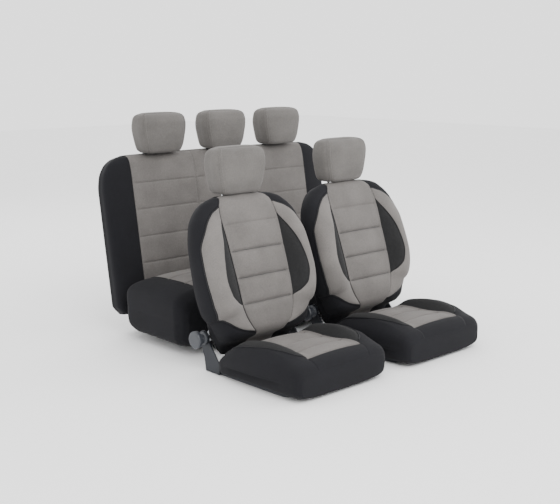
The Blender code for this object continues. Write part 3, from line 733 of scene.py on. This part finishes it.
def dress_front_seat(side, looks, skins):
    """Covers, piping and stitches of one front seat."""
    joint = [item for item in frame["record"]["behaviour"]["joints"]
             if item["name"] == side + "_recline"][0]
    hinge = Vector(joint["pos_m"])
    lean = Matrix.Translation(hinge) @ Matrix.Rotation(radians(-FRONT_LEAN), 4, "X")
    body = side + "_backrest"
    skin = skins["backrest"]

    def finish_at(height, band, finish):
        if band in (1, 5) and not STRIP[0] < height < STRIP[1]:
            return "black"
        return finish

    cover = skin.make(side + "_backrest_skin", looks, body, lean, 0.010, 0.004, finish_at)
    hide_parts(side + "_backrest_cover", side + "_backrest_foam")
    edges = []
    for number in (0, 5):
        edges.append(skin.seam_path(number, lean, STRIP[0], STRIP[1], 0.001))
    cords = piping(side + "_backrest_piping", edges, looks["piping"], body, 0.0034)
    lens_edges = [skin.seam_path(number, lean, LENS[0], LENS[1], 0.0) for number in (1, 4)]
    welts = piping(side + "_backrest_insert_welts", lens_edges, looks["piping"], body, 0.0016)
    seams = [skin.seam_path(number, lean, -0.02, 0.575, 0.0004) for number in (2, 3)]
    centre_welts = piping(side + "_backrest_centre_welts", seams, looks["piping"], body, 0.0018)
    rows = []
    for number, step in ((2, 2), (3, -2)):
        column = skin.seam_columns[number] + step
        rows.append(skin.column_path(column, lean, -0.02, 0.575, 0.0005))
    for number, step in ((0, 2), (5, -2)):
        column = skin.seam_columns[number] + step
        rows.append(skin.column_path(column, lean, STRIP[0] + 0.01, STRIP[1] - 0.02, 0.0005))
    sewn = stitches(side + "_backrest_stitches", rows, looks["thread_light"], body)
    first = skin.seam_columns[2] + 3
    last = skin.seam_columns[3] - 3
    lines = [skin.row_path(level, first, last, lean, 0.0002) for level in CHANNELS]
    # The three deep channel lines are near-black cords: painted shade at the bottom of each groove. The
    # shallow yoke seam keeps the cloth colour.
    grooves = piping(side + "_backrest_channel_shade_lines", lines[:3], looks["groove_shade"], body, 0.0011)
    faint = piping(side + "_backrest_yoke_seam", lines[3:], looks["head"], body, 0.0007)

    base_low, base_high = [Vector(corner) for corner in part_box(side + "_cushion_cover")]
    flat = Matrix.Translation(((base_low.x + base_high.x) / 2, base_low.y, 0.0))
    flat = flat @ Matrix.Rotation(radians(-90), 4, "X")
    skin = skins["cushion"]

    def cushion_finish(height, band, finish):
        if height < FRONT_BAND:
            return "black"
        return finish

    cover = skin.make(side + "_cushion_skin", looks, "root", flat, 0.006, 0.004, cushion_finish)
    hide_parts(side + "_cushion_cover", side + "_cushion_foam")
    ridges = [skin.seam_path(number, flat, 0.080, 0.470, 0.001) for number in (0, 3)]
    cords = piping(side + "_cushion_piping", ridges, looks["piping"], "root", 0.0034)
    first = skin.seam_columns[1]
    last = skin.seam_columns[2]
    lines = [skin.row_path(level, first + 3, last - 3, flat, 0.0002) for level in (0.150, 0.262, 0.372)]
    # Near-black cords in the cushion channels: painted shade at the bottom of each groove.
    grooves = piping(side + "_cushion_channel_shade_lines", lines, looks["groove_shade"], "root", 0.0011)
    welt_paths = [skin.seam_path(number, flat, FRONT_BAND, 0.47, 0.0004) for number in (1, 2)]
    welt_paths.append(skin.row_path(FRONT_BAND, first, last, flat, 0.0004))
    welts = piping(side + "_cushion_welts", welt_paths, looks["piping"], "root", 0.0018)
    rows = [skin.column_path(first + 2, flat, FRONT_BAND + 0.006, 0.45, 0.0005),
            skin.column_path(last - 2, flat, FRONT_BAND + 0.006, 0.45, 0.0005),
            skin.row_path(FRONT_BAND + 0.008, first + 2, last - 2, flat, 0.0005)]
    sewn = stitches(side + "_cushion_stitches", rows, looks["thread_light"], "root")

    dress_headrest(side, skins["front_headrest"], side + "_headrest", looks, side + "_headrest_cover")


# ---------------------------------------------------------------- rear bench


REAR_SEAMS = (0.100, 0.215, 0.345, 0.480, 0.610)


def rear_backrest():
    """The skin of the bench backrest in its leaning axes, zero at the bottom of its face."""
    half = BENCH_HALF_WIDTH
    width = smooth_curve([(-0.020, half - 0.030), (0.03, half), (0.58, half), (0.65, half - 0.010),
                          (0.70, half - 0.035), (0.735, half - 0.080), (0.748, half - 0.125)])
    front = smooth_curve([(-0.020, 0.012), (0.03, 0.004), (0.66, 0.002), (0.71, 0.006),
                          (0.735, 0.016), (0.748, 0.034)])
    back = smooth_curve([(-0.020, 0.104), (0.03, 0.118), (0.60, 0.114), (0.70, 0.106),
                         (0.735, 0.096), (0.748, 0.080)])
    edge = 0.590
    third = 0.197
    seams = [lambda height: -edge, lambda height: -third, lambda height: third,
             lambda height: edge]
    panels = ["black", "grey", "grey", "grey", "black"]

    def shape(heights, x, band, part):
        tall = hump(heights, -0.02, 0.78, 0.4)
        if band in (0, 4):
            return 0.006 * sin(pi * part) ** 0.6 * tall
        stand = 0.010 * np.sin(pi * part) ** 0.5 * tall
        for level in REAR_SEAMS:
            edge_part = min(1.0, sin(pi * part) * 5.0)
            stand = stand - 0.0035 * groove(heights, level, 0.004) * edge_part
            stand = stand - 0.0020 * groove(heights, level, 0.020) * edge_part
        return stand

    return Cover(height_steps(-0.020, 0.748, REAR_SEAMS), width, front, back, seams, panels, shape,
                 6.0, "black")


def rear_cushion(depth, low, high):
    """The bench cushion, running from its front edge back; up is -y in its own axes."""
    half = BENCH_HALF_WIDTH
    width = smooth_curve([(0.0, half - 0.045), (0.02, half - 0.018), (0.06, half),
                          (depth - 0.05, half), (depth - 0.015, half - 0.014),
                          (depth, half - 0.035)])
    top = smooth_curve([(0.0, -high + 0.070), (0.02, -high + 0.035), (0.07, -high + 0.006),
                        (0.2, -high), (depth - 0.10, -high + 0.004), (depth - 0.02, -high + 0.022),
                        (depth, -high + 0.045)])
    bottom = smooth_curve([(0.0, -low - 0.020), (0.03, -low - 0.005), (0.08, -low),
                           (depth - 0.09, -low), (depth - 0.03, -low - 0.022),
                           (depth, -low - 0.060)])
    edge = 0.590
    third = 0.197
    seams = [lambda height: -edge, lambda height: -third, lambda height: third,
             lambda height: edge]
    panels = ["black", "grey", "grey", "grey", "black"]

    def shape(heights, x, band, part):
        long = hump(heights, 0.0, depth, 0.4)
        if band in (0, 4):
            return 0.008 * sin(pi * part) ** 0.6 * long
        stand = 0.009 * np.sin(pi * part) ** 0.5 * long
        for level in (0.16, 0.29):
            stand = stand - 0.005 * groove(heights, level, 0.005)
        return stand

    return Cover(height_steps(0.0, depth, (0.16, 0.29, 0.055)), width, top, bottom, seams, panels,
                 shape, 6.0, "black")


def dress_rear_bench(looks, small_headrest):
    """Covers and seams of the bench."""
    low, high = [Vector(corner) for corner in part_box("rear_backrest_cover")]
    middle = (low.x + high.x) / 2
    lean_angle = radians(REAR_LEAN)
    # The face's bottom line lies under the node's top by the cover's own height along the lean.
    face = Vector((middle, 0.520, 0.130))
    lean = Matrix.Translation(face) @ Matrix.Rotation(-lean_angle, 4, "X")
    skin = rear_backrest()
    cover = skin.make("rear_backrest_skin", looks, "root", lean, 0.004, 0.006)
    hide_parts("rear_backrest_cover", "rear_backrest_foam")
    paths = [skin.seam_path(number, lean, -0.01, 0.745, 0.0004) for number in (0, 3)]
    welts = piping("rear_backrest_piping", paths, looks["piping"], "root", 0.0022)
    paths = [skin.seam_path(number, lean, -0.01, 0.745, 0.0002) for number in (1, 2)]
    for level in REAR_SEAMS:
        paths.append(skin.row_path(level, skin.seam_columns[0] + 2, skin.seam_columns[3] - 2, lean,
                                   0.0002))
    lines = piping("rear_backrest_seams", paths, looks["head"], "root", 0.0009)
    rows = []
    for number, step in ((0, 2), (1, 2), (1, -2), (2, 2), (2, -2), (3, -2)):
        rows.append(skin.column_path(skin.seam_columns[number] + step, lean, 0.0, 0.735, 0.0005))
    sewn = stitches("rear_backrest_stitches", rows, looks["thread_light"], "root")

    low, high = [Vector(corner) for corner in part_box("rear_cushion_cover")]
    depth = high.y - low.y
    flat = Matrix.Translation(((low.x + high.x) / 2, low.y, 0.0))
    flat = flat @ Matrix.Rotation(radians(-90), 4, "X")
    skin = rear_cushion(depth, low.z + 0.001, high.z)

    def cushion_finish(height, band, finish):
        if height < 0.055 and band in (1, 2, 3):
            return "black"
        return finish

    cover = skin.make("rear_cushion_skin", looks, "root", flat, 0.006, 0.006, cushion_finish)
    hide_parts("rear_cushion_cover", "rear_cushion_foam")
    paths = [skin.seam_path(number, flat, 0.055, depth - 0.01, 0.0004) for number in (0, 3)]
    paths.append(skin.row_path(0.055, skin.seam_columns[0], skin.seam_columns[3], flat, 0.0004))
    welts = piping("rear_cushion_piping", paths, looks["piping"], "root", 0.0022)
    for word in REAR_PLACES:
        name = "rear_" + word
        dress_headrest(name, small_headrest, name + "_headrest", looks, name + "_headrest_cover")


# ---------------------------------------------------------------- hard parts


def recolour(node, look):
    """Gives a CAD node one of the scene's materials."""
    item = frame["nodes"][node]
    item.data.materials.clear()
    item.data.materials.append(look)


def dress_hard_parts(looks):
    """Procedural finishes on every CAD node that stays in view."""
    for side in SIDES:
        finishes = {
            "cushion_pan": "black_metal",
            "recliner_bracket_outer": "black_metal", "recliner_bracket_inner": "black_metal",
            "recliner_boss": "plastic", "recliner_rod": "steel", "recliner_wheel": "plastic",
            "recliner_arm_outer": "steel", "recliner_arm_inner": "steel",
            "backrest_frame": "steel", "headrest_guides": "black_plastic",
            "headrest_posts": "chrome",
        }
        for part, look in finishes.items():
            recolour(f"{side}_{part}", looks[look])
    finishes = {
        "rear_base_frame": "black_metal", "rear_cushion_board": "black_metal",
        "rear_backrest_panel": "steel",
    }
    for node, look in finishes.items():
        recolour(node, looks[look])
    for word in REAR_PLACES:
        recolour(f"rear_{word}_headrest_guides", looks["black_plastic"])
        recolour(f"rear_{word}_headrest_posts", looks["chrome"])


# ---------------------------------------------------------------- stage


def make_stage():
    """A plain pale floor, soft studio light and the camera."""
    floor_mesh = bpy.data.meshes.new("studio_floor")
    reach = 14.0
    corners = [(-reach, -reach, -0.0015), (reach, -reach, -0.0015), (reach, reach, -0.0015),
               (-reach, reach, -0.0015)]
    floor_mesh.from_pydata(corners, [], [(0, 1, 2, 3)])
    floor = bpy.data.objects.new("studio_floor", floor_mesh)
    bpy.context.scene.collection.objects.link(floor)
    paint = bpy.data.materials.new("studio_floor_paint")
    paint.use_nodes = True
    shader = paint.node_tree.nodes["Principled BSDF"]
    socket(shader, "Base Color", (0.92, 0.92, 0.92, 1.0))
    socket(shader, "Roughness", 0.9)
    floor_mesh.materials.append(paint)

    world = bpy.data.worlds.new("studio")
    world.use_nodes = True
    background = world.node_tree.nodes["Background"]
    socket(background, "Color", (1.0, 1.0, 1.0, 1.0))
    socket(background, "Strength", 2.0)
    bpy.context.scene.world = world

    for name, place, size, power in (
        ("key_light", (-1.8, -3.6, 3.6), 2.6, 120),
        ("fill_light", (3.4, -2.6, 2.6), 2.6, 60),
        ("back_light", (0.5, 3.6, 3.4), 2.6, 50),
    ):
        light = bpy.data.lights.new(name, "AREA")
        light.energy = power
        light.size = size
        lamp = bpy.data.objects.new(name, light)
        lamp.location = place
        lamp.rotation_euler = (-Vector(place) + Vector((0, 0, 0.4))).to_track_quat("-Z", "Y").to_euler()
        bpy.context.scene.collection.objects.link(lamp)

    camera_data = bpy.data.cameras.new("camera")
    camera_data.lens = CAMERA_LENS
    camera_data.clip_end = 60
    camera = bpy.data.objects.new("camera", camera_data)
    camera.location = CAMERA_PLACE
    camera.rotation_euler = (radians(90 + CAMERA_PITCH), 0.0, radians(-CAMERA_TURN))
    bpy.context.scene.collection.objects.link(camera)
    bpy.context.scene.camera = camera


def main():
    """Dresses the whole set."""
    make_stage()
    looks = make_looks()
    skins = {
        "backrest": front_backrest(),
        "cushion": front_cushion(),
        "front_headrest": headrest(*FRONT_HEADREST),
    }
    for side in SIDES:
        dress_front_seat(side, looks, skins)
    dress_rear_bench(looks, headrest(*REAR_HEADREST))
    dress_hard_parts(looks)


main()
